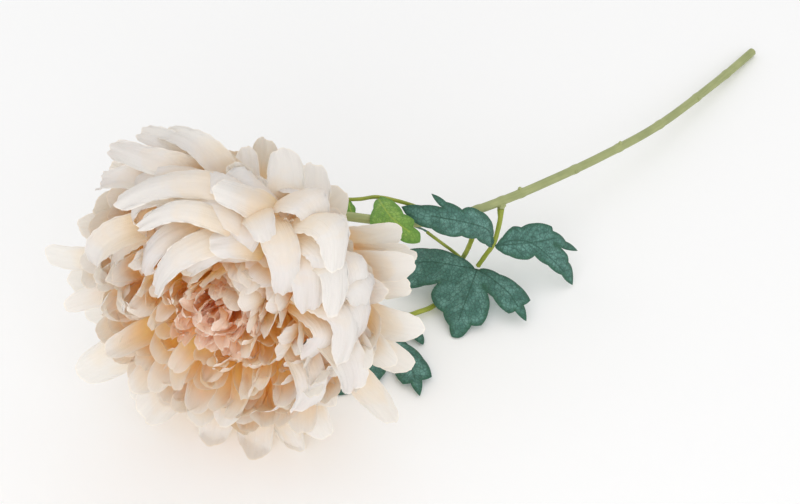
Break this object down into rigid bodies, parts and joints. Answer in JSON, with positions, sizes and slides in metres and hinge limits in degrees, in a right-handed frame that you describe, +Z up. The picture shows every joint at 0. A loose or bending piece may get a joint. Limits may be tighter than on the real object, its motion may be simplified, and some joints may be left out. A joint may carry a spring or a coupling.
{
  "type": "artificial pompon chrysanthemum stem",
  "caption": "Cut stem of a silk pompon chrysanthemum lying down: full cream bloom with a pink heart, green calyx, wired stem and sprigs of lobed leaves.",
  "frame": {"origin": "on the surface that the stem lies on, under the middle of the part's box", "axes": "+Z up; the bloom lies at -X, -Y and looks towards -Y, the stem runs away towards +X, +Y"},
  "size_m": [0.3887, 0.3349, 0.1735],
  "materials": {
    "petal_fabric": "woven, matt",
    "heart_fabric": "woven, matt",
    "calyx_plastic": "moulded, matt",
    "stem_plastic": "extruded over wire, satin",
    "petiole_plastic": "moulded, satin",
    "leaf_fabric": "pressed, matt",
    "young_leaf_fabric": "pressed, matt"
  },
  "bodies": {
    "root": {"petals": "petal_fabric", "heart": "heart_fabric", "calyx": "calyx_plastic", "stem": "stem_plastic", "sprig_a_petiole": "petiole_plastic", "sprig_b_petiole": "petiole_plastic", "sprig_c_petiole": "petiole_plastic", "leaf_a_upper": "leaf_fabric", "leaf_a_right": "leaf_fabric", "leaf_a_end": "leaf_fabric", "leaf_b_small": "leaf_fabric", "leaf_b_side": "leaf_fabric", "leaf_b_end": "leaf_fabric", "leaf_c_large": "young_leaf_fabric", "leaf_c_small": "young_leaf_fabric"}
  },
  "joints": []
}
